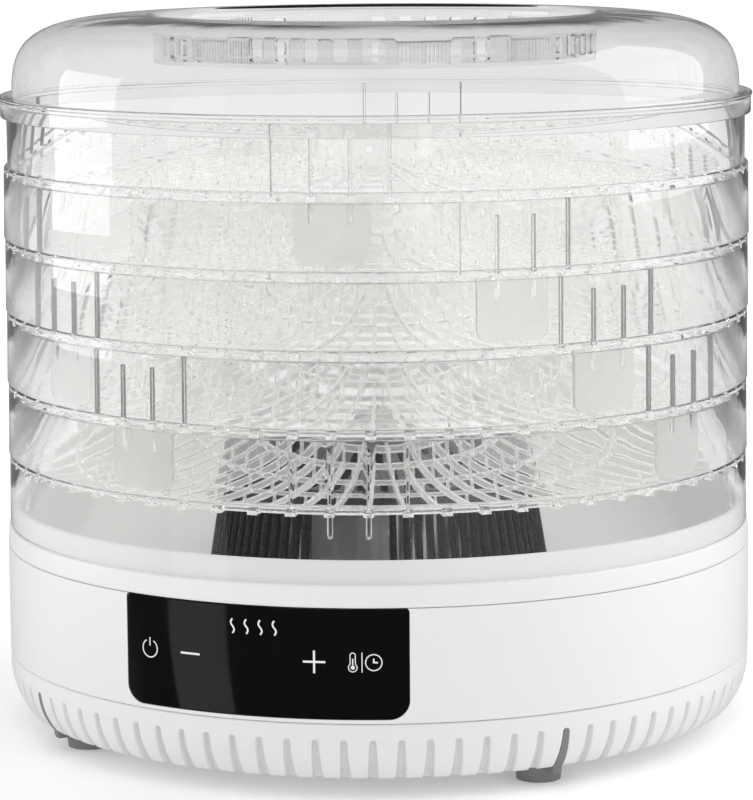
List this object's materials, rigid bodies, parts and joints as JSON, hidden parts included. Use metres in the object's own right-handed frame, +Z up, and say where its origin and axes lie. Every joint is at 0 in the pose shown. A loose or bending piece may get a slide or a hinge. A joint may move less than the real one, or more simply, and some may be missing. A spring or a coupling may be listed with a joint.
{
  "type": "food dehydrator",
  "caption": "Round food dehydrator: white base with a fan, a heater and a black touch panel, clear stacking trays with open grid floors, and a clear domed lid.",
  "frame": {"origin": "on the stack's axis, at the surface that the feet stand on", "axes": "+Z up along the stack's axis, the control panel faces -Y, +X is to the right seen from the front"},
  "size_m": [0.3302, 0.3302, 0.3124],
  "materials": {
    "white_abs": "satin white moulding",
    "black_abs": "satin black heat-resistant moulding",
    "black_gloss": "high-gloss black touch panel",
    "circuit_board": "green solder mask",
    "display_black": "unlit display",
    "touch_foam": "conductive foam",
    "component_black": "moulded component",
    "lead_white": "insulated lead",
    "rubber_grey": "soft grey rubber",
    "motor_steel": "zinc-plated steel",
    "screw_steel": "plated steel",
    "mica": "mica board",
    "heater_wire": "resistance wire",
    "shield_aluminium": "thin bright sheet",
    "fan_plastic": "satin fan moulding",
    "clear_plastic": "clear polystyrene moulding"
  },
  "bodies": {
    "base": {"top_deck": "white_abs", "base_shell": "white_abs", "lower_housing": "white_abs", "air_grille": "black_abs", "control_panel": "black_gloss", "control_board": "circuit_board", "display_module": "display_black", "touch_pads": "touch_foam", "panel_carrier": "white_abs", "power_board": "circuit_board", "board_components": "component_black", "inner_lead": "lead_white", "signal_cable": "lead_white", "cord_gland": "rubber_grey", "fan_motor": "motor_steel", "motor_bracket": "motor_steel", "motor_screws": "screw_steel", "bottom_screws": "screw_steel", "fan_duct": "black_abs", "heater_frame": "mica", "heater_coil": "heater_wire", "heat_shield": "shield_aluminium", "thermal_cutout": "component_black", "thermal_fuse": "screw_steel", "temperature_sensor": "component_black", "foot_front_left": "rubber_grey", "foot_front_right": "rubber_grey", "foot_rear_left": "rubber_grey", "foot_rear_right": "rubber_grey"},
    "fan": {"fan_impeller": "fan_plastic", "motor_shaft": "screw_steel"},
    "tray_1": {"tray_1": "clear_plastic"},
    "tray_2": {"tray_2": "clear_plastic"},
    "tray_3": {"tray_3": "clear_plastic"},
    "tray_4": {"tray_4": "clear_plastic"},
    "tray_5": {"tray_5": "clear_plastic"},
    "lid": {"lid": "clear_plastic"}
  },
  "joints": [
    {"name": "fan_spin", "type": "hinge", "parent": "base", "child": "fan", "pos_m": [0, 0, 0.052], "axis": [0, 0, 1], "continuous": true},
    {"name": "tray_1_lift", "type": "slide", "parent": "base", "child": "tray_1", "axis": [0, 0, 1], "range_m": [0, 0.06]},
    {"name": "tray_2_lift", "type": "slide", "parent": "tray_1", "child": "tray_2", "axis": [0, 0, 1], "range_m": [0, 0.06]},
    {"name": "tray_3_lift", "type": "slide", "parent": "tray_2", "child": "tray_3", "axis": [0, 0, 1], "range_m": [0, 0.06]},
    {"name": "tray_4_lift", "type": "slide", "parent": "tray_3", "child": "tray_4", "axis": [0, 0, 1], "range_m": [0, 0.06]},
    {"name": "tray_5_lift", "type": "slide", "parent": "tray_4", "child": "tray_5", "axis": [0, 0, 1], "range_m": [0, 0.06]},
    {"name": "lid_lift", "type": "slide", "parent": "tray_5", "child": "lid", "axis": [0, 0, 1], "range_m": [0, 0.08]}
  ]
}
